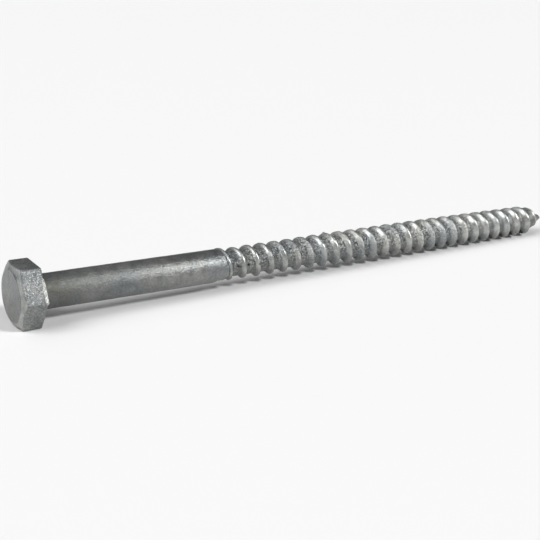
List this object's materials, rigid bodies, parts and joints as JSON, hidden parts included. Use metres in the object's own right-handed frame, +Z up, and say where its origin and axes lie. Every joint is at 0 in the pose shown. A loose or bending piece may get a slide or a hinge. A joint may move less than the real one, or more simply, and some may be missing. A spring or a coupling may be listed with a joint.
{
  "type": "lag screw",
  "caption": "Long hexagon-head wood screw with a plain shank, coarse right-hand thread and blunt gimlet point, hot-dip galvanised, lying on its side.",
  "frame": {"origin": "middle of the head's bearing face, on the screw's axis", "axes": "+X from the head to the point along the screw, sloping down by the 1.1 degrees at which it lies; +Z up from the surface it lies on; a hexagon flat faces down"},
  "size_m": [0.1867, 0.019, 0.0167],
  "materials": {
    "zinc_coated_steel": "hot-dip galvanised: dull grey zinc, mottled, smooth on crests and rough in roots"
  },
  "bodies": {
    "root": {"lag_screw": "zinc_coated_steel"}
  },
  "joints": []
}
